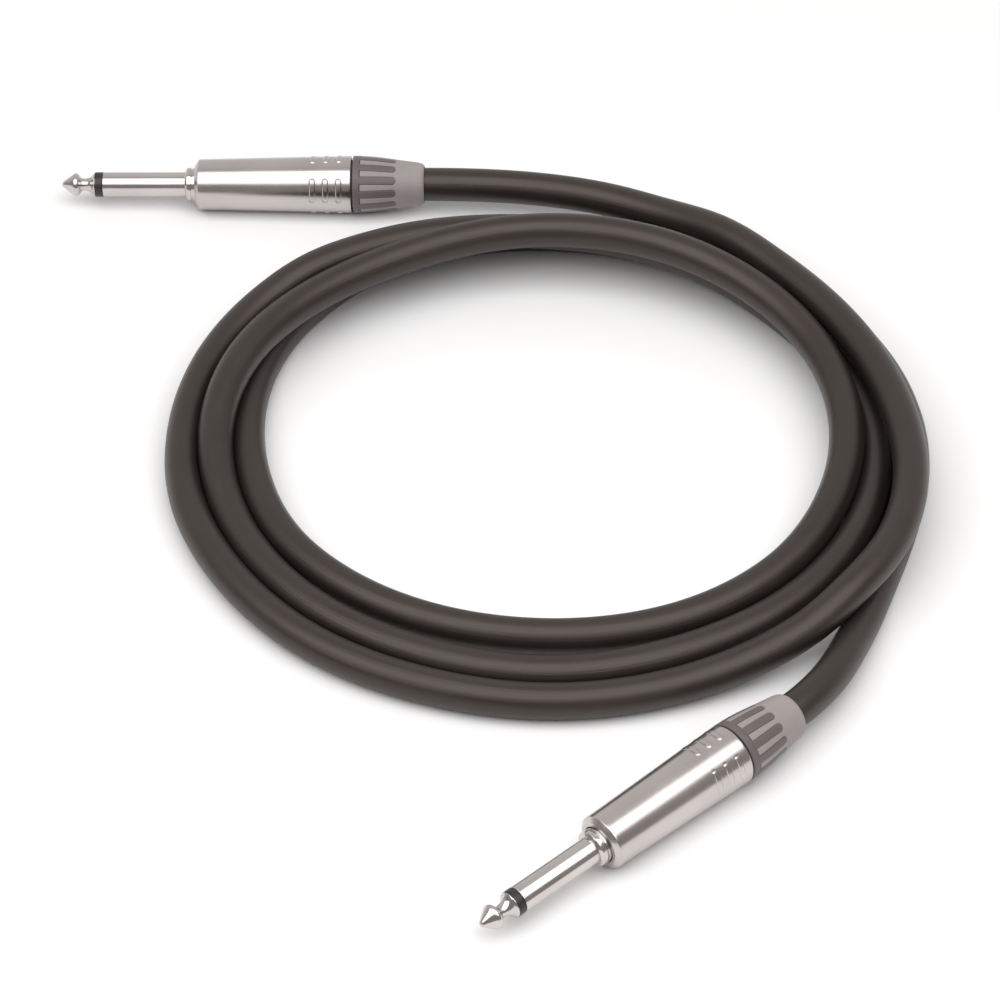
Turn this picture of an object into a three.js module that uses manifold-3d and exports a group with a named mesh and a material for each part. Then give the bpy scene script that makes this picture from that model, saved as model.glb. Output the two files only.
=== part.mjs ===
// Coiled instrument cable with a straight 6.35 mm mono plug on each end.
// Millimetres, +Z up. The cable lies on the plane z = 0. The origin is the middle of the
// box around the two plugs, on that plane.
import * as THREE from 'three';
import { mergeVertices } from 'three/addons/utils/BufferGeometryUtils.js';
import Module from 'manifold-3d';

const wasm = await Module();
wasm.setup();

// ---------------------------------------------------------------- driving dimensions
const GAP = 0.2; // clearance between pieces that touch
const CORD_GAP = 0.3; // clearance around the cord
const SIDES = 24; // facets around a turned piece

const CORD_RADIUS = 4.25;
const CORD_SIDES = 12;
const COIL_RADIUS = 88; // middle of the coil's outermost turn
const COIL_TURNS_WIDE = 2.5; // from the outermost to the innermost turn, in cord diameters
const COIL_HEIGHT = 19;
const COIL_SIDES = 60;

// Stations along a plug's axis, counted from the point of its tip.
const HEAD_END = 8.6;
const RING_END = 10.5;
const SHOULDER = 31.8;
const SHELL_FRONT = 34.4;
const SLEEVE_END = 39.2;
const SHELL_REAR = 74.4;
const BUSHING_FRONT = 74.8;
const FINGER_START = 76.6;
const FINGER_END = 85.8;
const PLUG_LENGTH = 93;

const SHAFT_RADIUS = 3.175;
const COLLAR_RADIUS = 4.3;
const SHELL_FRONT_RADIUS = 6.48;
const SHELL_REAR_RADIUS = 7.28;
const SHELL_BORE = 5.95;
const THREAD_BORE = 6.3;
const THREAD_START = 66.7;
const ROD_RADIUS = 1;
const FINGERS = 12;
const FINGER_WIDTH = 2;
const FINGER_FLOOR = 5.6; // radius at the foot of the fingers
const CHUCK_FRONT = 59.2;
const CHUCK_REAR = 71.6;
const CORE_FRONT = 51.7; // front of the stripped, shielded core
const CORE_RADIUS = 2.7; // the cord's shielded core, where its jacket is stripped

// A plug lies on the side of its tapered shell, so its axis climbs towards the cord.
const PLUG_PITCH = Math.asin((SHELL_REAR_RADIUS - SHELL_FRONT_RADIUS) / (SHELL_REAR - SHELL_FRONT));
const BOOT_END_HEIGHT = SHELL_REAR_RADIUS / Math.cos(PLUG_PITCH)
  + (PLUG_LENGTH - SHELL_REAR) * Math.sin(PLUG_PITCH);

// Where each plug's boot ends, and the way its axis points, seen from above. The coil's
// middle is at x = 0, y = 0 here.
const PLUGS = {
  plug_a: { x: -30.8, y: 97.3, heading: THREE.MathUtils.degToRad(-1.4) },
  plug_b: { x: 53.4, y: -94.7, heading: THREE.MathUtils.degToRad(42) },
};

// The cord's route between a boot and the coil, after its straight start.
const LEAD_START = 61.2; // station of the jacket's end, inside the chuck
const STRAIGHT_START = 6;
const LEAD_A_ROUTE = [
  [-13.8, 97, 7], [2.1, 95.5, 6.1], [17.5, 91.4, 6], [31.5, 83.8, 7.1], [40, 77.6, 9.3],
];
const LEAD_B_ROUTE = [
  [62, -82.4, 6.2], [68.8, -68, 4.7], [75.2, -53.3, 4.35], [78.9, -42, 4.35], [81.5, -33, 4.35],
];

// ------------------------------------------------------------------------- materials
const finishes = {
  nickel: { color: 0xcfcbc8, roughness: 0.22, metalness: 1 },
  tin: { color: 0xb9b9b6, roughness: 0.4, metalness: 1 },
  black_plastic: { color: 0x1b1a1a, roughness: 0.45, metalness: 0 },
  grey_plastic: { color: 0x6f6664, roughness: 0.55, metalness: 0 },
  white_plastic: { color: 0xd8d4c8, roughness: 0.5, metalness: 0 },
  light_rubber: { color: 0x9d9391, roughness: 0.7, metalness: 0 },
  cord_jacket: { color: 0x2b2624, roughness: 0.5, metalness: 0 },
  copper: { color: 0xb87349, roughness: 0.35, metalness: 1 },
};

function mesh(name, geometry, finish) {
  const piece = new THREE.Mesh(geometry, new THREE.MeshStandardMaterial(finishes[finish]));
  piece.name = name;
  return piece;
}

// -------------------------------------------------------------------- shape functions
function signedArea(outline) {
  let area = 0;
  outline.forEach(([s, r], i) => {
    const [nextS, nextR] = outline[(i + 1) % outline.length];
    area += s * nextR - nextS * r;
  });
  return area / 2;
}

// Turns an outline of [station, radius] points about the X axis. An outline that stays off
// the axis is closed into a ring.
function turned(outline) {
  const ordered = signedArea(outline) > 0 ? [...outline].reverse() : [...outline];
  const onAxis = ordered.some(([, r]) => r === 0);
  if (onAxis) {
    while (ordered[0][1] !== 0 || ordered[ordered.length - 1][1] !== 0) {
      ordered.push(ordered.shift());
    }
  } else {
    ordered.push(ordered[0]);
  }
  const points = ordered.map(([s, r]) => new THREE.Vector2(r, s));
  return new THREE.LatheGeometry(points, SIDES).rotateZ(-Math.PI / 2);
}

function box(lowX, highX, lowY, highY, lowZ, highZ) {
  return new THREE.BoxGeometry(highX - lowX, highY - lowY, highZ - lowZ)
    .translate((lowX + highX) / 2, (lowY + highY) / 2, (lowZ + highZ) / 2);
}

function solid(geometry) {
  const bare = geometry.clone();
  bare.deleteAttribute('normal');
  bare.deleteAttribute('uv');
  const merged = mergeVertices(bare, 1e-4);
  return new wasm.Manifold(new wasm.Mesh({
    numProp: 3,
    vertProperties: new Float32Array(merged.attributes.position.array),
    triVerts: new Uint32Array(merged.index.array),
  }));
}

function geometryOf(manifold) {
  const { vertProperties, triVerts } = manifold.getMesh();
  const geometry = new THREE.BufferGeometry();
  geometry.setAttribute('position', new THREE.BufferAttribute(vertProperties, 3));
  geometry.setIndex(new THREE.BufferAttribute(triVerts, 1));
  return geometry;
}

function joined(first, ...others) {
  return geometryOf(others.reduce((sum, next) => sum.add(solid(next)), solid(first)));
}

function cut(first, ...tools) {
  return geometryOf(tools.reduce((rest, tool) => rest.subtract(solid(tool)), solid(first)));
}

function circle(radius, sides) {
  const outline = new THREE.Shape();
  for (let i = 0; i < sides; i += 1) {
    const angle = (2 * Math.PI * i) / sides;
    const step = i === 0 ? 'moveTo' : 'lineTo';
    outline[step](radius * Math.cos(angle), radius * Math.sin(angle));
  }
  outline.closePath();
  return outline;
}

function tubeAlong(points, radius, sides, steps) {
  return new THREE.ExtrudeGeometry(circle(radius, sides), {
    steps,
    bevelEnabled: false,
    extrudePath: new THREE.CatmullRomCurve3(points, false, 'centripetal'),
  });
}

// ------------------------------------------------------------------- pieces of a plug
function tipContact() {
  const rodEnd = SLEEVE_END + 4;
  return turned([
    [0, 0], [0.1, 0.45], [0.5, 0.85], [3.2, 2.8], [3.55, 3], [3.85, 3], [4.2, 2.8], [5.1, 2.05],
    [5.5, 1.93], [5.9, 1.98], [7.2, 2.7], [8.1, 3.1], [HEAD_END, 3.1],
    [HEAD_END, ROD_RADIUS], [rodEnd, ROD_RADIUS], [rodEnd, 0],
  ]);
}

function tipInsulator() {
  const linerRadius = 1.9;
  const bore = ROD_RADIUS + GAP;
  const front = HEAD_END + GAP;
  return turned([
    [front, bore], [front, SHAFT_RADIUS], [RING_END, SHAFT_RADIUS], [RING_END, linerRadius],
    [SLEEVE_END, linerRadius], [SLEEVE_END, bore],
  ]);
}

function sleeveContact() {
  const bore = 1.9 + GAP;
  const front = RING_END + GAP;
  const flangeFront = SLEEVE_END - 2.2;
  const flangeRadius = 5.6;
  return turned([
    [front, bore], [front, SHAFT_RADIUS - 0.1], [front + 0.1, SHAFT_RADIUS],
    [SHOULDER, SHAFT_RADIUS], [SHOULDER, 3.85], [SHOULDER + 0.5, COLLAR_RADIUS],
    [flangeFront, COLLAR_RADIUS], [flangeFront, flangeRadius], [SLEEVE_END, flangeRadius],
    [SLEEVE_END, bore],
  ]);
}

// A plain tube or washer between two stations.
function sleeve(front, rear, innerRadius, outerRadius) {
  return turned([[front, innerRadius], [front, outerRadius], [rear, outerRadius], [rear, innerRadius]]);
}

// A washer under the sleeve's flange, with a strip back to wings that hold the cord's shield.
function groundLug() {
  const front = SLEEVE_END + GAP;
  const washer = sleeve(front, front + 0.6, 2.4, 5);
  const wings = sleeve(CORE_FRONT + 1.5, CORE_FRONT + 5.5, CORE_RADIUS + GAP, CORE_RADIUS + GAP + 0.6);
  const opening = box(CORE_FRONT, CORE_FRONT + 6.5, -6, 6, 0.8, 6);
  const strip = box(front, CORE_FRONT + 4.5, -1.6, 1.6, -CORE_RADIUS - GAP - 0.6, -CORE_RADIUS - GAP - 0.1);
  return joined(cut(wings, opening), washer, strip);
}

function rearInsulator() {
  const front = SLEEVE_END + 1;
  return sleeve(front, front + 1, ROD_RADIUS + GAP, CORE_RADIUS);
}

// A washer on the rod of the tip contact, with a tab that the core wire is soldered to.
function tipLug() {
  const front = SLEEVE_END + 2.2;
  const washer = sleeve(front, front + 0.6, ROD_RADIUS + GAP, 2.4);
  const tab = box(front, front + 7, -1.2, 1.2, 1.9, 2.4);
  return joined(washer, tab);
}

function shell() {
  return turned([
    [SHELL_FRONT, COLLAR_RADIUS + GAP], [SHELL_FRONT, SHELL_FRONT_RADIUS - 1.2],
    [SHELL_FRONT + 0.95, SHELL_FRONT_RADIUS],
    [SHELL_REAR - 0.15, SHELL_REAR_RADIUS], [SHELL_REAR, SHELL_REAR_RADIUS - 0.15],
    [SHELL_REAR, THREAD_BORE], [THREAD_START, THREAD_BORE], [THREAD_START, SHELL_BORE],
    [SHELL_FRONT + 2.4, SHELL_BORE], [SHELL_FRONT + 2.4, COLLAR_RADIUS + GAP],
  ]);
}

function linerTube() {
  return sleeve(SLEEVE_END + 2.2, CHUCK_FRONT - 0.6, 5.3, SHELL_BORE - GAP);
}

// The slotted collet that the bushing squeezes on to the cord.
function chuck() {
  const step = THREAD_START + 0.2;
  const bore = CORD_RADIUS + CORD_GAP;
  const body = turned([
    [CHUCK_FRONT, bore], [CHUCK_FRONT, SHELL_BORE - GAP], [step, SHELL_BORE - GAP], [step, 5.1],
    [CHUCK_REAR, 5.1], [CHUCK_REAR, bore],
  ]);
  const slot = box(CHUCK_FRONT + 3, CHUCK_REAR + 1, -8, 8, -0.5, 0.5);
  return cut(body, slot, slot.clone().rotateX(Math.PI / 2));
}

// The outside of the bushing and boot together, as [station, radius] points.
const GRIP_OUTLINE = [
  [BUSHING_FRONT + 0.15, 7.28], [FINGER_START, 7.24], [80.2, 7], [FINGER_END, 6.28],
  [91, 5.6], [92.2, 5.28],
];

function gripOutline(from, to) {
  return GRIP_OUTLINE.filter(([s]) => s >= from && s <= to);
}

// A bar with a half-round rear end that stands out from the axis, to cut one finger with.
function fingerBar(index, extra) {
  const half = FINGER_WIDTH / 2 + extra;
  const endCentre = FINGER_END - FINGER_WIDTH / 2;
  const outline = new THREE.Shape();
  outline.moveTo(FINGER_START - 1, -half);
  outline.lineTo(endCentre, -half);
  outline.absarc(endCentre, 0, half, -Math.PI / 2, Math.PI / 2, false);
  outline.lineTo(FINGER_START - 1, half);
  outline.closePath();
  return new THREE.ExtrudeGeometry(outline, { depth: 4, bevelEnabled: false, curveSegments: 4 })
    .translate(0, 0, FINGER_FLOOR - 0.1 - extra)
    .rotateX((2 * Math.PI * (index + 0.5)) / FINGERS);
}

function bushing() {
  const bore = CORD_RADIUS + CORD_GAP + 0.1;
  const skirtFront = THREAD_START + 0.4;
  const skirtFloor = CHUCK_REAR + 1;
  const cageEnd = FINGER_END + 1.4;
  const ring = turned([
    [skirtFront, 5.3], [skirtFront, THREAD_BORE - GAP], [BUSHING_FRONT, THREAD_BORE - GAP],
    [BUSHING_FRONT, 7.1], [BUSHING_FRONT + 0.15, 7.28], [FINGER_START, 7.24],
    [FINGER_START, bore], [skirtFloor, bore], [skirtFloor, 5.3],
  ]);
  const cage = solid(turned([
    [FINGER_START - 0.2, FINGER_FLOOR], ...gripOutline(FINGER_START, cageEnd),
    [cageEnd, FINGER_FLOOR],
  ]));
  const fingers = Array.from({ length: FINGERS }, (_, i) => cage.intersect(solid(fingerBar(i, 0))));
  return geometryOf(fingers.reduce((sum, finger) => sum.add(finger), solid(ring)));
}

function boot() {
  const bore = CORD_RADIUS + CORD_GAP + 0.1;
  const front = FINGER_START + GAP;
  const body = solid(turned([
    [front, bore], [front, 7.24], ...gripOutline(front, 92.2), [PLUG_LENGTH - 0.3, 4.95],
    [PLUG_LENGTH, bore + 0.05], [PLUG_LENGTH, bore],
  ]));
  const grooves = Array.from({ length: FINGERS }, (_, i) => solid(fingerBar(i, GAP)));
  return geometryOf(grooves.reduce((rest, groove) => rest.subtract(groove), body));
}

// The stripped end of the cord, between the lugs' wings and the chuck.
function shieldedCore() {
  return turned([[CORE_FRONT, 0], [CORE_FRONT, CORE_RADIUS], [LEAD_START - CORD_GAP, CORE_RADIUS],
    [LEAD_START - CORD_GAP, 0]]);
}

// Small wires from the shielded core to the two lugs, as [distance before the core, height] points.
function wire(radius, points) {
  return tubeAlong(points.map(([x, z]) => new THREE.Vector3(CORE_FRONT - x, 0, z)), radius, 8, 9);
}

function coreWire() {
  return wire(0.6, [[0.3, 0.3], [1.2, 1], [2.2, 2.6], [4.5, 3.25], [8.5, 3.25]]);
}

function shieldTail() {
  return wire(0.45, [[0.3, -1.8], [2, -2.1], [4.5, -2.25], [7.5, -2.25]]);
}

function plugPieces(name) {
  return [
    mesh(`${name}_tip_contact`, tipContact(), 'nickel'),
    mesh(`${name}_tip_insulator`, tipInsulator(), 'black_plastic'),
    mesh(`${name}_sleeve_contact`, sleeveContact(), 'nickel'),
    mesh(`${name}_ground_lug`, groundLug(), 'tin'),
    mesh(`${name}_rear_insulator`, rearInsulator(), 'black_plastic'),
    mesh(`${name}_tip_lug`, tipLug(), 'tin'),
    mesh(`${name}_shell`, shell(), 'nickel'),
    mesh(`${name}_liner_tube`, linerTube(), 'white_plastic'),
    mesh(`${name}_chuck`, chuck(), 'black_plastic'),
    mesh(`${name}_bushing`, bushing(), 'grey_plastic'),
    mesh(`${name}_boot`, boot(), 'light_rubber'),
    mesh(`${name}_shielded_core`, shieldedCore(), 'copper'),
    mesh(`${name}_core_wire`, coreWire(), 'white_plastic'),
    mesh(`${name}_shield_tail`, shieldTail(), 'copper'),
  ];
}

function placedPlug(name) {
  const { x, y, heading } = PLUGS[name];
  const plug = new THREE.Group();
  plug.add(...plugPieces(name));
  plug.position.x = -PLUG_LENGTH; // the boot's end is the turning point
  const pitched = new THREE.Group();
  pitched.add(plug);
  pitched.rotation.set(0, -PLUG_PITCH, heading, 'ZYX');
  pitched.position.set(x, y, BOOT_END_HEIGHT);
  return pitched;
}

// ------------------------------------------------------------------- pieces of the cord
function coilRing(margin) {
  const outer = COIL_RADIUS + CORD_RADIUS + CORD_GAP + margin;
  const inner = COIL_RADIUS - (COIL_TURNS_WIDE * 2 + 1) * CORD_RADIUS - CORD_GAP - margin;
  const low = -margin;
  const high = COIL_HEIGHT + margin;
  const outline = [
    [inner + 2, low], [outer - 2, low], [outer, low + 2], [outer, high - 5], [outer - 4, high],
    [inner + 5, high], [inner, high - 6], [inner, low + 2], [inner + 2, low],
  ];
  const points = outline.map(([r, z]) => new THREE.Vector2(r, z));
  return new THREE.LatheGeometry(points, COIL_SIDES).rotateX(Math.PI / 2);
}

// The cord from the plug's chuck, straight out of the boot, and on to the coil.
function lead(name, route) {
  const { x, y, heading } = PLUGS[name];
  const bootEnd = new THREE.Vector3(x, y, BOOT_END_HEIGHT);
  const outwards = new THREE.Vector3(
    Math.cos(PLUG_PITCH) * Math.cos(heading),
    Math.cos(PLUG_PITCH) * Math.sin(heading),
    Math.sin(PLUG_PITCH),
  );
  const start = LEAD_START - PLUG_LENGTH;
  const straight = [start, start / 2, 0, STRAIGHT_START]
    .map((distance) => bootEnd.clone().addScaledVector(outwards, distance));
  const points = [...straight, ...route.map((point) => new THREE.Vector3(...point))];
  const tube = tubeAlong(points, CORD_RADIUS, CORD_SIDES, 16);
  return cut(tube, coilRing(CORD_GAP));
}

// ------------------------------------------------------------------------- the assembly
const plugs = Object.keys(PLUGS).map(placedPlug);
const assembly = new THREE.Group();
assembly.add(
  ...plugs,
  mesh('cord_lead_a', lead('plug_a', LEAD_A_ROUTE), 'cord_jacket'),
  mesh('cord_coil', coilRing(0), 'cord_jacket'),
  mesh('cord_lead_b', lead('plug_b', LEAD_B_ROUTE), 'cord_jacket'),
);

assembly.updateMatrixWorld(true);
const plugBox = new THREE.Box3();
plugs.forEach((plug) => plugBox.expandByObject(plug, true));
const middle = plugBox.getCenter(new THREE.Vector3());
assembly.position.set(-middle.x, -middle.y, 0);

const cable = new THREE.Group();
cable.add(assembly);

export default cable;
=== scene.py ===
"""Instrument cable: a little over three loose turns of round rubber cord, with a straight quarter-inch plug
at each end.

Lengths are in millimetres while a shape is worked out and in metres on the Blender objects.
"""
import math

import bmesh
import bpy
import numpy as np
from mathutils import Matrix, Vector


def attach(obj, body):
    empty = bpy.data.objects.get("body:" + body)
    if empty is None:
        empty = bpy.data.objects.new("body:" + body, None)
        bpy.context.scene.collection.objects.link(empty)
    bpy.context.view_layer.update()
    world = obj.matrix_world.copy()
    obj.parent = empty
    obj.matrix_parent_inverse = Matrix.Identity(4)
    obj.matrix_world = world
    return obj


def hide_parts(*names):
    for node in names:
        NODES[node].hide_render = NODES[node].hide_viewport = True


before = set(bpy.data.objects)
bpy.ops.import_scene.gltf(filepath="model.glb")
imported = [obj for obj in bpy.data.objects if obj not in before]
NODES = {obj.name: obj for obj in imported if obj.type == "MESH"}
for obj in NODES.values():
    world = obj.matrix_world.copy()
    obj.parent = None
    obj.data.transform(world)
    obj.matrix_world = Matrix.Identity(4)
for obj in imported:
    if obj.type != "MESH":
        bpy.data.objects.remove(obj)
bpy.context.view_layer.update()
MM = 0.001

# ---------------------------------------------------------------- driving sizes
CORD_D = 8.5                       # cord diameter
CORD_R = CORD_D / 2
CORD_LENGTH = 1800.0               # what the texture along the cord is measured by
COIL_R = 88.0                      # outer turn's centreline
COIL_CENTRE = (33.60436, 26.01379)
PITCH = math.asin(0.02)            # the plugs rest on shell and boot, so they tip a little
BOOT_END = 93.0                    # station of the boot's end, from the tip
SHOULDER = 31.8                    # where the shaft ends, from the tip
SHAFT_R = 3.175
COLLAR_R = 4.3
SHELL_FRONT = 34.4
SHELL_FRONT_R = 6.48
SHELL_END = 74.4
SHELL_R = 7.28
SHELL_BORE = 5.95
THREAD_BORE = 6.3
SLEEVE_END = 39.2                  # rear of the sleeve's flange, inside the shell
AXIS_Z = SHELL_R / math.cos(PITCH) + (BOOT_END - SHELL_END) * math.sin(PITCH)
CORD_START = 65.0                  # station where the cord begins inside a plug
CORD_STRAIGHT = 10.0               # straight run past the boot
# boot end in plan, about the coil's centre, and heading towards the cord
PLUGS = {"a": ((-30.8, 97.3), -1.4), "b": ((53.4, -94.7), 42.0)}


# ---------------------------------------------------------------- camera
def add_camera():
    elevation, distance = math.radians(42.0), 1.05
    aim = Vector((0.02209, 0.011108, 0.0))
    data = bpy.data.cameras.new("camera")
    data.sensor_width = 36.0
    data.lens = 158.8
    data.clip_start, data.clip_end = 0.05, 50.0
    camera = bpy.data.objects.new("camera", data)
    bpy.context.scene.collection.objects.link(camera)
    away = Vector((0, -math.cos(elevation), math.sin(elevation)))
    camera.location = aim + away * distance
    camera.rotation_euler = (math.pi / 2 - elevation, 0, 0)
    bpy.context.scene.camera = camera


add_camera()


# ---------------------------------------------------------------- the cord's route
STEP = 2.5                         # between the points that are relaxed
TUBE_STEP = 2.0                    # between the finished tube's rings
GUIDE_SMOOTH = 9.0                 # width of the smoothing before and after relaxing
ROUTE_SMOOTH = 4.5
ROUNDS, QUICK_ROUNDS = 150, 12     # of relaxing
STIFFNESS = 0.8
TOUCH = 1.005                      # strands are pushed this many diameters apart
LEAD_A = [(-14, 96.9, 7.8), (-2, 95.6, 7.7), (10, 92.9, 7.9), (20, 89.4, 8.4)]
LEAD_B = [(66.2, -76.6, 5.6), (62.6, -84.6, 7.0)]
# (angle clockwise from +X in degrees, inset from the outer turn and height, both in cord diameters)
TURN_KEYS = [
    (-68, 0.08, 1.08), (-60, 0.36, 1.25), (-52, 0.62, 1.42), (-44, 0.8, 1.5), (-36, 0.86, 1.5),
    (-26, 0.82, 1.5), (-15, 0.7, 1.5), (-6, 0.54, 1.5), (0, 0.38, 1.5), (8, 0.14, 1.5), (16, -0.1, 1.5),
    (24, -0.28, 1.5), (33, -0.4, 1.46), (42, -0.4, 1.26), (52, -0.24, 0.92), (64, -0.06, 0.62), (90, 0, 0.5),
    (130, 0, 0.5), (165, 0, 0.5), (180, 0, 0.56), (192, 0, 0.66), (202, 0.06, 0.8), (212, 0.22, 1.02),
    (222, 0.58, 1.32), (232, 0.98, 1.5), (243, 1.22, 1.48), (255, 1.4, 1.33), (266, 1.5, 1.22),
    (276, 1.58, 1.2), (288, 1.66, 1.2), (300, 1.61, 1.11), (312, 1.52, 0.8), (324, 1.38, 0.56),
    (336, 1.24, 0.5), (348, 1.12, 0.5), (360, 1.04, 0.5), (400, 1.03, 0.5), (450, 1.05, 0.5),
    (495, 1.03, 0.5), (515, 1, 0.5), (528, 0.98, 0.6), (540, 0.98, 0.85), (550, 1.06, 1.15),
    (560, 1.2, 1.38), (571, 1.42, 1.5), (583, 1.75, 1.55), (597, 2.08, 1.64), (612, 2.24, 1.8),
    (628, 2.28, 1.9), (644, 2.3, 1.94), (658, 2.24, 1.92), (672, 2.08, 1.7), (688, 1.9, 1.42),
    (704, 1.83, 1.2), (720, 1.85, 1.03), (736, 1.9, 0.85), (755, 2, 0.68), (780, 2.25, 0.53),
    (810, 2.48, 0.5), (840, 2.35, 0.5), (862, 2.12, 0.5), (880, 1.93, 0.5), (895, 1.76, 0.5),
    (910, 1.58, 0.5), (924, 1.38, 0.5), (937, 1.12, 0.5), (949, 0.9, 0.5), (961, 0.74, 0.5),
    (974, 0.68, 0.5), (987, 0.72, 0.5), (998, 0.8, 0.5), (1008, 0.82, 0.5), (1018, 0.74, 0.5),
    (1026, 0.58, 0.5), (1034, 0.4, 0.5), (1044, 0.24, 0.5), (1058, 0.14, 0.5), (1075, 0.07, 0.5),
    (1090, 0.03, 0.5), (1098.9, 0.04, 0.5), (1106.2, -0.1, 0.5), (1115.5, -0.44, 0.5), (1122.4, -0.84, 0.5),
]


def polar(angle, inset, height):
    turn, radius = math.radians(angle), COIL_R - inset * CORD_D
    return (radius * math.cos(turn), -radius * math.sin(turn), height * CORD_D)


def plug_axis(side):
    (x, y), heading = PLUGS[side]
    turn = math.radians(heading)
    flat = math.cos(PITCH)
    return (np.array([x, y, AXIS_Z]),
            np.array([flat * math.cos(turn), flat * math.sin(turn), math.sin(PITCH)]))


def lengths(points):
    return np.r_[0, np.cumsum(np.linalg.norm(np.diff(points, axis=0), axis=1))]


def even(points, step):
    along = lengths(points)
    at = np.linspace(0, along[-1], int(round(along[-1] / step)) + 1)
    return np.stack([np.interp(at, along, points[:, i]) for i in range(3)], 1)


def through(points, step):
    """A smooth curve through the points, sampled every step."""
    p = np.array(points, float)
    along = lengths(p)
    span = np.diff(along)[:, None]
    slope = np.diff(p, axis=0) / span
    tangent = np.zeros_like(p)
    tangent[1:-1] = (slope[:-1] * span[1:] + slope[1:] * span[:-1]) / (span[1:] + span[:-1])
    tangent[0], tangent[-1] = slope[0], slope[-1]
    at = np.linspace(0, along[-1], int(round(along[-1] / step)) + 1)
    k = np.clip(np.searchsorted(along, at, side="right") - 1, 0, len(p) - 2)
    w = ((at - along[k]) / (along[k + 1] - along[k]))[:, None]
    h = (along[k + 1] - along[k])[:, None]
    return ((2 * w**3 - 3 * w**2 + 1) * p[k] + (w**3 - 2 * w**2 + w) * h * tangent[k]
            + (-2 * w**3 + 3 * w**2) * p[k + 1] + (w**3 - w**2) * h * tangent[k + 1])


def smooth(points, sigma, step):
    """Gaussian smoothing; the ends are reflected, so that straight ends stay straight."""
    reach = int(3 * sigma / step)
    weight = np.exp(-0.5 * (np.arange(-reach, reach + 1) * step / sigma) ** 2)
    weight /= weight.sum()
    head = 2 * points[0] - points[reach:0:-1]
    tail = 2 * points[-1] - points[-2:-reach - 2:-1]
    padded = np.concatenate([head, points, tail])
    return np.stack([np.convolve(padded[:, i], weight, "valid") for i in range(3)], 1)


def guide():
    end_a, axis_a = plug_axis("a")
    end_b, axis_b = plug_axis("b")
    back = BOOT_END - CORD_START
    points = [end_a - axis_a * back, end_a - axis_a * back / 2, end_a, end_a + axis_a * CORD_STRAIGHT]
    points += LEAD_A
    points += [polar(*key) for key in TURN_KEYS]
    points += LEAD_B
    points += [end_b + axis_b * CORD_STRAIGHT, end_b, end_b - axis_b * back / 2, end_b - axis_b * back]
    curve = smooth(through([tuple(p) for p in points], STEP), GUIDE_SMOOTH, STEP)
    return even(even(curve, STEP), STEP)


def settle(points, rounds, hold=0.02):
    """Lets the cord find its place: stiff in bending, a fixed length, no strand inside another
    or under the floor, drawn weakly to the guide. The ends stay held in the plugs."""
    p, goal = points.copy(), points.copy()
    n = len(p)
    order = np.arange(n)
    held = int((BOOT_END - CORD_START + CORD_STRAIGHT) / STEP)
    fixed = np.zeros(n, bool)
    fixed[:held] = fixed[-held:] = True
    own = int(3 * CORD_D / STEP)
    apart = np.abs(order[:, None] - order[None, :]) > own
    for _ in range(rounds):
        bend = np.zeros_like(p)
        bend[2:-2] = (-p[:-4] + 4 * p[1:-3] - 6 * p[2:-2] + 4 * p[3:-1] - p[4:]) / 16
        p = p + bend * STIFFNESS
        p[:, :2] += (goal[:, :2] - p[:, :2]) * hold
        p[:, 2] += (goal[:, 2] - p[:, 2]) * hold / 2
        for _ in range(2):
            gap2 = ((p[:, None, :] - p[None, :, :]) ** 2).sum(2)
            i, j = np.nonzero((gap2 < CORD_D**2) & apart)
            if len(i):
                push, hits = np.zeros_like(p), np.zeros(n)
                v = p[i] - p[j]
                gap = np.maximum(np.linalg.norm(v, axis=1), 1e-6)
                np.add.at(push, i, v * ((CORD_D * TOUCH - gap) / 2 / gap)[:, None])
                np.add.at(hits, i, 1)
                p = p + push / np.maximum(hits, 1)[:, None] * 0.9
            p[:, 2] = np.maximum(p[:, 2], CORD_R)
        for _ in range(4):
            for start in (0, 1):
                a = order[start:-1:2]
                v = p[a + 1] - p[a]
                shift = v * (1 - STEP / np.linalg.norm(v, axis=1)[:, None]) / 2
                p[a] += shift
                p[a + 1] -= shift
        p[fixed] = goal[fixed]
        p[:, 2] = np.maximum(p[:, 2], CORD_R)
    return p


# ---------------------------------------------------------------- material helpers
def new_material(name):
    material = bpy.data.materials.new(name)
    material.use_nodes = True
    tree = material.node_tree
    tree.nodes.clear()
    out = tree.nodes.new("ShaderNodeOutputMaterial")
    shader = tree.nodes.new("ShaderNodeBsdfPrincipled")
    tree.links.new(shader.outputs["BSDF"], out.inputs["Surface"])
    return material, tree, shader


def coordinates(tree, scale=(1, 1, 1)):
    source = tree.nodes.new("ShaderNodeTexCoord")
    mapping = tree.nodes.new("ShaderNodeMapping")
    mapping.inputs["Scale"].default_value = scale
    tree.links.new(source.outputs["Object"], mapping.inputs["Vector"])
    return mapping.outputs["Vector"]


def noise(tree, vector, scale, detail=4.0, rough=0.55):
    node = tree.nodes.new("ShaderNodeTexNoise")
    node.inputs["Scale"].default_value = scale
    node.inputs["Detail"].default_value = detail
    node.inputs["Roughness"].default_value = rough
    tree.links.new(vector, node.inputs["Vector"])
    return node.outputs["Fac"]


def spread(tree, value, low, high, out_low, out_high):
    node = tree.nodes.new("ShaderNodeMapRange")
    node.inputs["From Min"].default_value = low
    node.inputs["From Max"].default_value = high
    node.inputs["To Min"].default_value = out_low
    node.inputs["To Max"].default_value = out_high
    tree.links.new(value, node.inputs["Value"])
    return node.outputs["Result"]


def ramp(tree, value, stops):
    node = tree.nodes.new("ShaderNodeValToRGB")
    band = node.color_ramp
    while len(band.elements) < len(stops):
        band.elements.new(0.5)
    for element, (place, colour) in zip(band.elements, stops):
        element.position = place
        element.color = (*colour, 1)
    tree.links.new(value, node.inputs["Fac"])
    return node.outputs["Color"]


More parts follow.
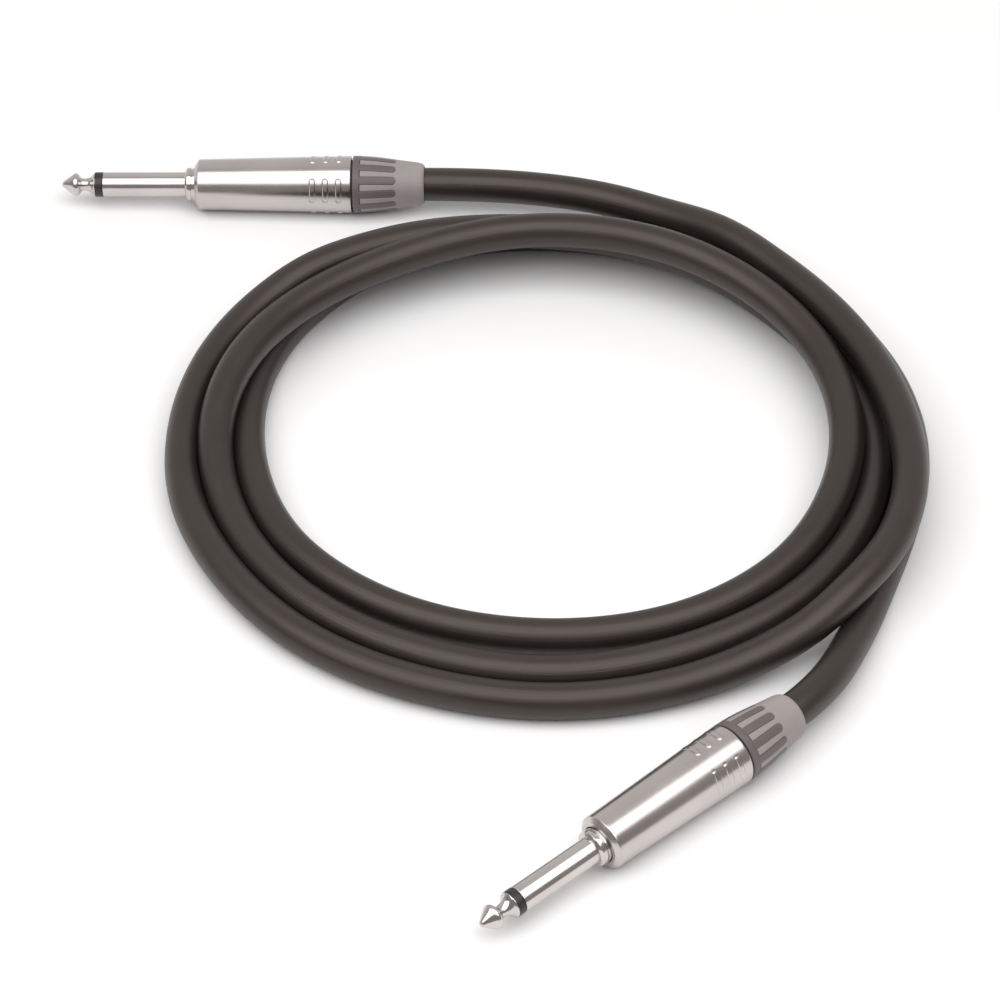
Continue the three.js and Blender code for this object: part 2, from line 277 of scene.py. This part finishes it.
def bump(tree, shader, value, distance, strength=1.0, before=None):
    node = tree.nodes.new("ShaderNodeBump")
    node.inputs["Distance"].default_value = distance
    node.inputs["Strength"].default_value = strength
    tree.links.new(value, node.inputs["Height"])
    if before is not None:
        tree.links.new(before, node.inputs["Normal"])
    tree.links.new(node.outputs["Normal"], shader.inputs["Normal"])
    return node.outputs["Normal"]


def metal(name, dark, light, rough, turned=900.0, grain=0.000004, scuff=60.0):
    """Plated or turned metal: fine lines round the part's X axis, faint clouding and scuffs."""
    material, tree, shader = new_material(name)
    shader.inputs["Metallic"].default_value = 1.0
    place = coordinates(tree)
    cloud = noise(tree, place, scuff, 5.0)
    tree.links.new(ramp(tree, cloud, [(0.3, dark), (0.7, light)]), shader.inputs["Base Color"])
    lines = noise(tree, coordinates(tree, (turned, 3, 3)), 1.0, 3.0)
    both = tree.nodes.new("ShaderNodeMath")
    both.operation = "MULTIPLY"
    tree.links.new(cloud, both.inputs[0])
    tree.links.new(lines, both.inputs[1])
    tree.links.new(spread(tree, both.outputs[0], 0.1, 0.45, rough[0], rough[1]), shader.inputs["Roughness"])
    bump(tree, shader, lines, grain)
    return material


def moulded(name, dark, light, rough, grain=1400.0, depth=0.00002, cloud=90.0, specular=0.5):
    """Moulded plastic or rubber: fine grain, faint clouding, uneven sheen."""
    material, tree, shader = new_material(name)
    shader.inputs["Specular IOR Level"].default_value = specular
    place = coordinates(tree)
    soft = noise(tree, place, cloud, 6.0, 0.6)
    fine = noise(tree, place, grain, 3.0)
    tree.links.new(ramp(tree, soft, [(0.28, dark), (0.72, light)]), shader.inputs["Base Color"])
    tree.links.new(spread(tree, soft, 0.3, 0.7, rough[0], rough[1]), shader.inputs["Roughness"])
    bump(tree, shader, fine, depth)
    return material


def jacket(name):
    """The cord's jacket: warm black rubber, faint drawing lines along it, dust and dull patches."""
    material, tree, shader = new_material(name)
    shader.inputs["Specular IOR Level"].default_value = 0.66
    shader.inputs["Specular Tint"].default_value = (1.0, 0.86, 0.79, 1.0)
    source = tree.nodes.new("ShaderNodeTexCoord")
    around = tree.nodes.new("ShaderNodeMapping")
    around.inputs["Scale"].default_value = (6.0, 26.0, 1.0)
    tree.links.new(source.outputs["UV"], around.inputs["Vector"])
    drawn = noise(tree, around.outputs["Vector"], 3.0, 5.0, 0.6)
    place = coordinates(tree)
    cloud = noise(tree, place, 55.0, 6.0, 0.6)
    fine = noise(tree, place, 2200.0, 2.0)
    mixed = tree.nodes.new("ShaderNodeMath")
    mixed.operation = "ADD"
    tree.links.new(spread(tree, drawn, 0.0, 1.0, 0.0, 0.4), mixed.inputs[0])
    tree.links.new(spread(tree, cloud, 0.0, 1.0, 0.0, 0.6), mixed.inputs[1])
    tones = [(0.3, (0.0125, 0.0098, 0.0084)), (0.7, (0.020, 0.0162, 0.0140))]
    tree.links.new(ramp(tree, mixed.outputs[0], tones), shader.inputs["Base Color"])
    tree.links.new(spread(tree, mixed.outputs[0], 0.3, 0.7, 0.34, 0.46), shader.inputs["Roughness"])
    first = bump(tree, shader, fine, 0.000012)
    bump(tree, shader, drawn, 0.00006, before=first)
    return material


def braid(name, dark, light, pitch):
    """Fine wires laid slantwise round the part."""
    material, tree, shader = new_material(name)
    shader.inputs["Metallic"].default_value = 1.0
    source = tree.nodes.new("ShaderNodeTexCoord")
    mapping = tree.nodes.new("ShaderNodeMapping")
    mapping.inputs["Rotation"].default_value = (0.3, 0.6, 0.5)
    tree.links.new(source.outputs["Object"], mapping.inputs["Vector"])
    wave = tree.nodes.new("ShaderNodeTexWave")
    wave.inputs["Scale"].default_value = pitch
    wave.inputs["Distortion"].default_value = 1.5
    tree.links.new(mapping.outputs["Vector"], wave.inputs["Vector"])
    tree.links.new(ramp(tree, wave.outputs["Fac"], [(0.1, dark), (0.8, light)]), shader.inputs["Base Color"])
    shader.inputs["Roughness"].default_value = 0.36
    bump(tree, shader, wave.outputs["Fac"], 0.00008)
    return material


MATERIALS = {
    "shell": metal("satin_nickel", (0.52, 0.485, 0.472), (0.585, 0.546, 0.531), (0.19, 0.26)),
    "contact": metal("bright_nickel", (0.56, 0.525, 0.51), (0.63, 0.59, 0.572), (0.12, 0.19), turned=1400.0,
                     grain=0.000003),
    "tin": metal("tinned_lug", (0.52, 0.51, 0.49), (0.66, 0.65, 0.62), (0.28, 0.42), turned=300.0),
    "ring": moulded("black_insulator", (0.012, 0.011, 0.011), (0.024, 0.022, 0.021), (0.30, 0.42)),
    "chuck": moulded("chuck_black", (0.018, 0.017, 0.016), (0.030, 0.028, 0.027), (0.38, 0.5)),
    "liner": moulded("liner_white", (0.62, 0.61, 0.58), (0.74, 0.73, 0.70), (0.34, 0.46)),
    "bushing": moulded("grey_bushing", (0.105, 0.088, 0.086), (0.135, 0.115, 0.112), (0.42, 0.54)),
    "boot": moulded("soft_grey_rubber", (0.270, 0.238, 0.232), (0.320, 0.284, 0.277), (0.50, 0.64),
                    grain=1800.0, depth=0.00003),
    "cord": jacket("cord_jacket"),
    "core": moulded("core_insulation", (0.58, 0.57, 0.55), (0.72, 0.71, 0.69), (0.3, 0.45)),
    "shield": braid("copper_braid", (0.34, 0.15, 0.09), (0.82, 0.43, 0.28), 900.0),
}


# ---------------------------------------------------------------- mesh helpers
def plug_matrix(side):
    """Places a shape drawn along +X from the plug's tip: X along the plug, Z nearly up."""
    end, axis = plug_axis(side)
    tip = end - axis * BOOT_END
    x = Vector(axis)
    y = Vector((0, 0, 1)).cross(x).normalized()
    z = x.cross(y)
    place = Vector((tip[0] + COIL_CENTRE[0], tip[1] + COIL_CENTRE[1], tip[2])) * MM
    rows = [(x[i], y[i], z[i], place[i]) for i in range(3)]
    return Matrix((*rows, (0, 0, 0, 1)))


def make_piece(name, verts, faces, matrix, kind, sharp=28.0, uvs=None):
    mesh = bpy.data.meshes.new(name)
    mesh.from_pydata([tuple(float(c) * MM for c in v) for v in verts], [], faces)
    mesh.validate()
    if uvs is not None:
        layer = mesh.uv_layers.new(name="UVMap")
        layer.data.foreach_set("uv", np.asarray(uvs, np.float32).ravel())
    work = bmesh.new()
    work.from_mesh(mesh)
    bmesh.ops.recalc_face_normals(work, faces=work.faces)
    work.to_mesh(mesh)
    work.free()
    mesh.polygons.foreach_set("use_smooth", [True] * len(mesh.polygons))
    mesh.set_sharp_from_angle(angle=math.radians(sharp))
    mesh.materials.append(MATERIALS[kind])
    piece = bpy.data.objects.new(name, mesh)
    bpy.context.scene.collection.objects.link(piece)
    piece.matrix_world = matrix
    return piece


def revolve(profile, columns, radius=None, angle=None):
    """A closed solid from a closed outline of (station, radius) points turned about X.
    Points with no radius become a single pole. `radius(k, s, r, column)` and `angle(s, r, column)`
    let rings be anything but round."""
    verts, faces, rings = [], [], []
    for k, (s, r) in enumerate(profile):
        if r < 1e-6:
            rings.append([len(verts)])
            verts.append((s, 0, 0))
            continue
        ring = []
        for c in range(columns):
            turn = angle(s, r, c) if angle else 2 * math.pi * c / columns
            rr = radius(k, s, r, turn) if radius else r
            ring.append(len(verts))
            verts.append((s, rr * math.cos(turn), rr * math.sin(turn)))
        rings.append(ring)
    count = len(rings)
    closed = len(rings[0]) > 1 or len(rings[-1]) > 1
    for k in range(count if closed else count - 1):
        a, b = rings[k], rings[(k + 1) % count]
        for c in range(columns):
            d = (c + 1) % columns
            if len(a) == 1 and len(b) == 1:
                continue
            if len(a) == 1:
                faces.append((a[0], b[c], b[d]))
            elif len(b) == 1:
                faces.append((a[d], a[c], b[0]))
            else:
                faces.append((a[c], a[d], b[d], b[c]))
    return verts, faces


def rounded(outline, radii, steps=4):
    """Rounds an open outline's corners: radii gives each inner corner's radius, 0 to leave it."""
    points = [np.array(p, float) for p in outline]
    result = [tuple(points[0])]
    for before, here, after, r in zip(points, points[1:], points[2:], radii):
        if r <= 0:
            result.append(tuple(here))
            continue
        u, v = before - here, after - here
        lu, lv = np.linalg.norm(u), np.linalg.norm(v)
        u, v = u / lu, v / lv
        half = math.acos(max(-1.0, min(1.0, float(u @ v)))) / 2
        cut = min(r / math.tan(half), lu * 0.48, lv * 0.48)
        start, end = here + u * cut, here + v * cut
        for i in range(steps + 1):
            t = i / steps
            result.append(tuple((1 - t) ** 2 * start + 2 * t * (1 - t) * here + t**2 * end))
    result.append(tuple(points[-1]))
    return result


def step01(value):
    value = min(1.0, max(0.0, value))
    return value * value * (3 - 2 * value)


# ---------------------------------------------------------------- plug shapes
def tip_shape():
    """The pointed ball tip and its rod, which runs back through the plug."""
    ball = [(0, 0), (0.03, 0.26), (0.14, 0.52), (0.34, 0.74), (0.6, 0.95), (1.2, 1.42), (2.2, 2.16),
            (2.85, 2.64), (3.15, 2.83), (3.4, 2.92), (3.65, 2.94), (3.9, 2.89), (4.15, 2.76), (4.4, 2.52),
            (4.62, 2.22), (4.84, 1.9), (5.05, 1.7), (5.3, 1.58), (5.65, 1.53), (6.1, 1.55), (6.6, 1.65),
            (7.1, 1.86), (7.5, 2.12), (7.85, 2.45), (8.12, 2.78), (8.32, 3.02), (8.46, 3.12), (8.58, 3.12),
            (8.62, 3.05), (8.62, 1.0), (43.0, 1.0), (43.2, 0.8), (43.2, 0)]
    return revolve(ball, 72)


def ring_shape():
    outer = rounded([(8.66, 1.2), (8.66, 3.16), (10.58, 3.16), (10.58, 1.9)], [0.09, 0.09])
    inner = [(SLEEVE_END, 1.9), (SLEEVE_END, 1.1), (8.66, 1.1)]
    return revolve(outer + inner, 72)


def sleeve_shape():
    groove_front, groove_rear, groove_r = 33.35, 33.75, 3.95
    flange_front, flange_r, bore = 37.0, 5.6, 2.1
    outline = rounded([(10.66, bore), (10.66, SHAFT_R), (SHOULDER, SHAFT_R), (SHOULDER, 3.7),
                       (32.35, COLLAR_R), (groove_front, COLLAR_R), (groove_front, groove_r),
                       (groove_rear, groove_r), (groove_rear, COLLAR_R), (flange_front, COLLAR_R),
                       (flange_front, flange_r),
                       (SLEEVE_END, flange_r), (SLEEVE_END, bore)],
                      [0.1, 0.05, 0.1, 0.12, 0.1, 0.05, 0.05, 0.08, 0.05, 0.05, 0.2])
    return revolve(outline, 72)


BAR_STATIONS = (64.6, 67.95, 71.3)  # centres of the grip bars
BAR_HALF = 0.66                      # half a bar's width along the shell
BAR_ARC = 6.2                        # a bar's length round the shell
BAR_HEIGHT = 0.16
GROOVE, GROOVE_DEPTH = 0.2, 0.07     # a fine groove round each bar
BAR_TURNS = tuple(math.radians(a) for a in (67, 157, 247, 337))


def bar_height(s, r, turn):
    """How far the rounded grip bars stand out of the shell at a point."""
    for centre in BAR_TURNS:
        arc = abs((turn - centre + math.pi) % (2 * math.pi) - math.pi) * r
        for station in BAR_STATIONS:
            over = max(0.0, arc - (BAR_ARC / 2 - BAR_HALF))
            inside = BAR_HALF - math.hypot(s - station, over)
            if inside > 0:
                return BAR_HEIGHT * step01(inside / 0.16)
            if inside > -GROOVE:
                return -GROOVE_DEPTH * math.sin(math.pi * -inside / GROOVE)
    return 0.0


def shell_turns():
    """Columns round the shell, closer together where the bars end."""
    half = BAR_ARC / 2 / SHELL_R
    turns = []
    for centre in BAR_TURNS:
        inner, outer = half - math.radians(7), half + math.radians(2)
        turns += list(np.linspace(centre - outer, centre - inner, 14))
        turns += list(np.linspace(centre - inner, centre + inner, 14)[1:-1])
        turns += list(np.linspace(centre + inner, centre + outer, 14))
        turns += list(np.linspace(centre + outer, centre + math.pi / 2 - outer, 16)[1:-1])
    return turns


def shell_shape():
    """The barrel: a shallow cone with a stepped nose, rolled rear rim, bars in relief and a bore."""
    turns = shell_turns()
    front, nose_r, nose_bore, chamfer = SHELL_FRONT, SHELL_FRONT_R, 4.5, 0.98
    nose = rounded([(front, nose_bore), (front, 5.3), (front + chamfer, nose_r),
                    (front + 1.6, nose_r + 0.012)], [0.1, 0.16], 3)[1:]
    slope = (SHELL_R - nose_r) / (SHELL_END - 0.2 - front - chamfer)
    marks = {37, 41, 46, 51, 56, 61, 63.5, 73.8}
    for station in BAR_STATIONS:
        marks.update(station + side * d for side in (-1, 1)
                     for d in (0.2, 0.44, 0.5, 0.54, 0.58, 0.62, 0.66, 0.71, 0.76, 0.81, 0.86))
    body = [(s, nose_r + slope * (s - front - chamfer)) for s in sorted(marks)]
    rim = [(74.1, 7.276), (74.24, 7.262), (74.33, 7.21), (74.39, 7.12), (SHELL_END, 6.95)]
    inside = [(SHELL_END, 6.5), (74.2, THREAD_BORE), (66.7, THREAD_BORE), (66.5, SHELL_BORE),
              (36.8, SHELL_BORE), (36.8, nose_bore), (front, nose_bore)]

    def radius(k, s, r, turn):
        return r + bar_height(s, r, turn) if 0 <= k - len(nose) < len(body) else r

    return revolve(nose + body + rim + inside, len(turns), radius=radius, angle=lambda s, r, c: turns[c])


GRIP = through([(74.9, 7.28, 0), (76.6, 7.24, 0), (80.2, 7, 0), (85.8, 6.3, 0), (89, 5.88, 0),
                (91.4, 5.56, 0)], 0.1)
FINGERS = 12
FINGER_FRONT, FINGER_TAIL, FINGER_HALF = 76.4, 84.8, 1.0
TAIL_END = FINGER_TAIL + FINGER_HALF


def grip_radius(s):
    return float(np.interp(s, GRIP[:, 0], GRIP[:, 1]))


def finger_half(s):
    """Half the finger's width: constant, then a half-round end."""
    past = max(0.0, s - FINGER_TAIL)
    return max(0.05, math.sqrt(max(0.0, FINGER_HALF**2 - past**2)))


def tail_stations():
    return [FINGER_TAIL + FINGER_HALF * math.sin(math.pi / 2 * i / 9) for i in range(10)]


def finger_centre(index):
    return 2 * math.pi * (index + 0.5) / FINGERS


def bushing_shape():
    """Threaded skirt, collar ring and the twelve fingers that lie in the boot."""
    skirt_front, skirt_rear, crest, depth = 67.1, 74.65, 6.1, 0.34
    outline = [(skirt_front, 5.3), (skirt_front, 5.6)]
    outline += [(s, crest) for s in np.arange(67.3, skirt_rear, 0.125)]
    thread_end = len(outline)
    outline += [(74.8, 5.9), (74.8, 6.98), (74.84, 7.12), (74.92, 7.22), (75.06, 7.275), (75.4, 7.28),
                (76.35, 7.25), (76.5, 7.22), (76.6, 7.1), (76.6, 4.65), (72.6, 4.65), (72.6, 5.3)]

    def thread(k, s, r, turn):
        if not 2 <= k < thread_end:
            return r
        phase = (s - turn / (2 * math.pi)) % 1.0
        ridge = 1 - min(1.0, abs(phase - 0.5) / 0.42)
        fade = step01((s - skirt_front - 0.1) / 0.6) * step01((skirt_rear - 0.3 - s) / 0.6)
        return r - depth * (1 - ridge * fade)

    verts, faces = revolve(outline, 96, radius=thread)
    across = (-1, -0.97, -0.9, -0.75, -0.4, 0, 0.4, 0.75, 0.9, 0.97, 1)
    drop = (0.11, 0.05, 0.012, 0, 0, 0, 0, 0, 0.012, 0.05, 0.11)
    stations = [FINGER_FRONT, 77.2, 78.2, 79.2, 80.2, 81.7, 83.2] + tail_stations()
    foot = 5.7
    for index in range(FINGERS):
        base, width = len(verts), len(across) + 2
        for s in stations:
            half, top = finger_half(s), grip_radius(s) + 0.03
            lower = 0.1 * step01((s - (TAIL_END - 0.12)) / 0.12)
            for f, d in zip(across, drop):
                turn = finger_centre(index) + f * half / top
                r = top - d - lower
                verts.append((s, r * math.cos(turn), r * math.sin(turn)))
            for f in (1, -1):
                turn = finger_centre(index) + f * half / top
                verts.append((s, foot * math.cos(turn), foot * math.sin(turn)))
        for k in range(len(stations) - 1):
            for c in range(width):
                d = (c + 1) % width
                faces.append((base + k * width + c, base + k * width + d,
                              base + (k + 1) * width + d, base + (k + 1) * width + c))
        faces.append(tuple(base + c for c in range(width)))
        last = base + (len(stations) - 1) * width
        faces.append(tuple(last + c for c in reversed(range(width))))
    return verts, faces


def boot_shape():
    """Soft grip: tapered, with a channel for each finger and a rounded mouth close on the cord."""
    inside = (0, 0.55, 0.95)
    beyond = (0.03, 0.08, 0.2)
    per = 16

    def offset(s, r, place):
        """Arc from the finger's centre for column `place`, -8 to 8."""
        side, place = (-1 if place < 0 else 1), abs(place)
        half = finger_half(s)
        if s > TAIL_END:
            half = 0.05 + 0.95 * step01((s - TAIL_END - 0.2) / 2.2)
        pitch = math.pi * r / FINGERS
        if place < 3:
            return side * inside[place] * half
        if place < 6:
            return side * (half + beyond[place - 3])
        edge = half + beyond[2]
        return side * (edge + (pitch - edge) * (place - 5) / 3)

    def angle(s, r, c):
        index, place = divmod(c, per)
        return finger_centre(index) + offset(s, grip_radius(s), place - per // 2) / grip_radius(s)

    front = 76.7
    stations = [front + 0.1, 77.2, 78.2, 79.2, 80.2, 81.2, 82.2, 83.2, 84.2] + tail_stations()
    stations += [TAIL_END + d for d in (0.03, 0.08, 0.2, 0.5, 0.9, 1.4, 2.0, 2.6, 3.6, 4.8)]
    outline = [(front, 7.0)] + [(s, grip_radius(s)) for s in stations] + [(91.3, grip_radius(91.3))]
    first, last = 1, len(outline)
    outline += [(91.8, 5.47), (92.25, 5.32), (92.6, 5.12), (92.84, 4.92), (92.96, 4.74), (93.0, 4.6),
                (92.9, 4.5), (92.3, 4.48), (91.0, 4.65), (front, 4.65)]

    def radius(k, s, r, turn):
        if not first <= k < last:
            return r
        step = 2 * math.pi / FINGERS
        arc = abs((turn % step) - step / 2) * r
        out = (math.hypot(s - FINGER_TAIL, arc) if s > FINGER_TAIL else arc) - FINGER_HALF
        if out < 0.005:
            return r - 1.1
        return r - 0.13 * (1 - step01((out - 0.01) / 0.16))

    return revolve(outline, per * FINGERS, radius=radius, angle=angle)


def cord_shape(path):
    """A tube round the path; the texture's seam runs along its underside."""
    sides = 28
    tangent = np.gradient(path, axis=0)
    tangent /= np.linalg.norm(tangent, axis=1)[:, None]
    side = np.cross(tangent, (0, 0, 1))
    side /= np.linalg.norm(side, axis=1)[:, None]
    up = np.cross(side, tangent)
    verts, faces = [], []
    for k in range(len(path)):
        for c in range(sides):
            turn = 2 * math.pi * c / sides - math.pi / 2
            verts.append(path[k] + CORD_R * (side[k] * math.cos(turn) + up[k] * math.sin(turn)))
    uvs = []
    along = lengths(path) / CORD_LENGTH
    for k in range(len(path) - 1):
        for c in range(sides):
            d = (c + 1) % sides
            faces.append((k * sides + c, k * sides + d, (k + 1) * sides + d, (k + 1) * sides + c))
            for kk, cc in ((k, c), (k, c + 1), (k + 1, c + 1), (k + 1, c)):
                uvs.append((along[kk], cc / sides))
    faces.append(tuple(range(sides)))
    uvs += [(along[0], c / sides) for c in range(sides)]
    last = (len(path) - 1) * sides
    faces.append(tuple(last + c for c in reversed(range(sides))))
    uvs += [(along[-1], c / sides) for c in reversed(range(sides))]
    return verts, faces, uvs


# ---------------------------------------------------------------- the cord
route = guide()
route = settle(route, ROUNDS)
cord_path = even(smooth(route, ROUTE_SMOOTH, STEP), TUBE_STEP) + np.array([*COIL_CENTRE, 0])
verts, faces, uvs = cord_shape(cord_path)
cord = make_piece("instrument_cord", verts, faces, Matrix.Identity(4), "cord", uvs=uvs)
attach(cord, "cable")
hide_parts("cord_lead_a", "cord_coil", "cord_lead_b")

# ---------------------------------------------------------------- both plugs
# piece, shape, material, body it moves with (None: the cable itself), CAD node it stands for
OUTER = [
    ("tip_contact_turned", tip_shape, "contact", None, "tip_contact"),
    ("insulator_ring", ring_shape, "ring", None, "tip_insulator"),
    ("sleeve_turned", sleeve_shape, "contact", None, "sleeve_contact"),
    ("shell_barrel", shell_shape, "shell", None, "shell"),
    ("bushing_fingers", bushing_shape, "bushing", "bushing", "bushing"),
    ("boot_grip", boot_shape, "boot", "bushing", "boot"),
]
INNER = {"ground_lug": "tin", "rear_insulator": "ring", "tip_lug": "tin", "liner_tube": "liner",
         "chuck": "chuck", "shielded_core": "shield", "core_wire": "core", "shield_tail": "shield"}
for side in ("a", "b"):
    matrix = plug_matrix(side)
    for label, shape, kind, body, node in OUTER:
        verts, faces = shape()
        piece = make_piece(f"plug_{side}_{label}", verts, faces, matrix, kind)
        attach(piece, f"plug_{side}_{body}" if body else "cable")
        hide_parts(f"plug_{side}_{node}")
    for node, kind in INNER.items():
        kept = NODES[f"plug_{side}_{node}"]
        for slot in kept.material_slots:
            slot.material = MATERIALS[kind]


# ---------------------------------------------------------------- floor and light
def add_floor():
    material, tree, shader = new_material("pale_floor")
    place = coordinates(tree)
    tones = [(0.3, (0.86, 0.86, 0.86)), (0.7, (0.88, 0.88, 0.88))]
    tree.links.new(ramp(tree, noise(tree, place, 3.0), tones), shader.inputs["Base Color"])
    shader.inputs["Roughness"].default_value = 0.75
    shader.inputs["Specular IOR Level"].default_value = 0.2
    half = 6.0
    mesh = bpy.data.meshes.new("floor")
    corners = [(-half, -half, 0), (half, -half, 0), (half, half, 0), (-half, half, 0)]
    mesh.from_pydata(corners, [], [(0, 1, 2, 3)])
    mesh.materials.append(material)
    floor = bpy.data.objects.new("floor", mesh)
    bpy.context.scene.collection.objects.link(floor)
    floor.location.z = -0.0002


def add_light(name, place, aim, size, power):
    data = bpy.data.lights.new(name, "AREA")
    data.shape = "RECTANGLE"
    data.size, data.size_y = size
    data.energy = power
    light = bpy.data.objects.new(name, data)
    bpy.context.scene.collection.objects.link(light)
    light.location = place
    light.rotation_euler = (Vector(aim) - Vector(place)).to_track_quat("-Z", "Y").to_euler()


def add_world():
    """Soft studio surround: brighter behind, darker low down in front."""
    world = bpy.data.worlds.new("studio")
    bpy.context.scene.world = world
    world.use_nodes = True
    tree = world.node_tree
    tree.nodes.clear()
    out = tree.nodes.new("ShaderNodeOutputWorld")
    background = tree.nodes.new("ShaderNodeBackground")
    source = tree.nodes.new("ShaderNodeTexCoord")
    split = tree.nodes.new("ShaderNodeSeparateXYZ")
    tree.links.new(source.outputs["Generated"], split.inputs["Vector"])
    band = ramp(tree, spread(tree, split.outputs["Y"], -1, 1, 0, 1),
                [(0.0, (0.28, 0.265, 0.26)), (0.5, (0.32, 0.305, 0.30)), (0.72, (0.66, 0.65, 0.64)),
                  (1.0, (0.76, 0.75, 0.74))])
    tree.links.new(band, background.inputs["Color"])
    background.inputs["Strength"].default_value = 1.0
    tree.links.new(background.outputs["Background"], out.inputs["Surface"])


add_floor()
add_world()
add_light("softbox", (-0.15, -0.38, 1.05), (-0.15, -0.18, 0.0), (2.6, 1.22), 22.0)
bpy.context.scene.view_settings.view_transform = "Standard"
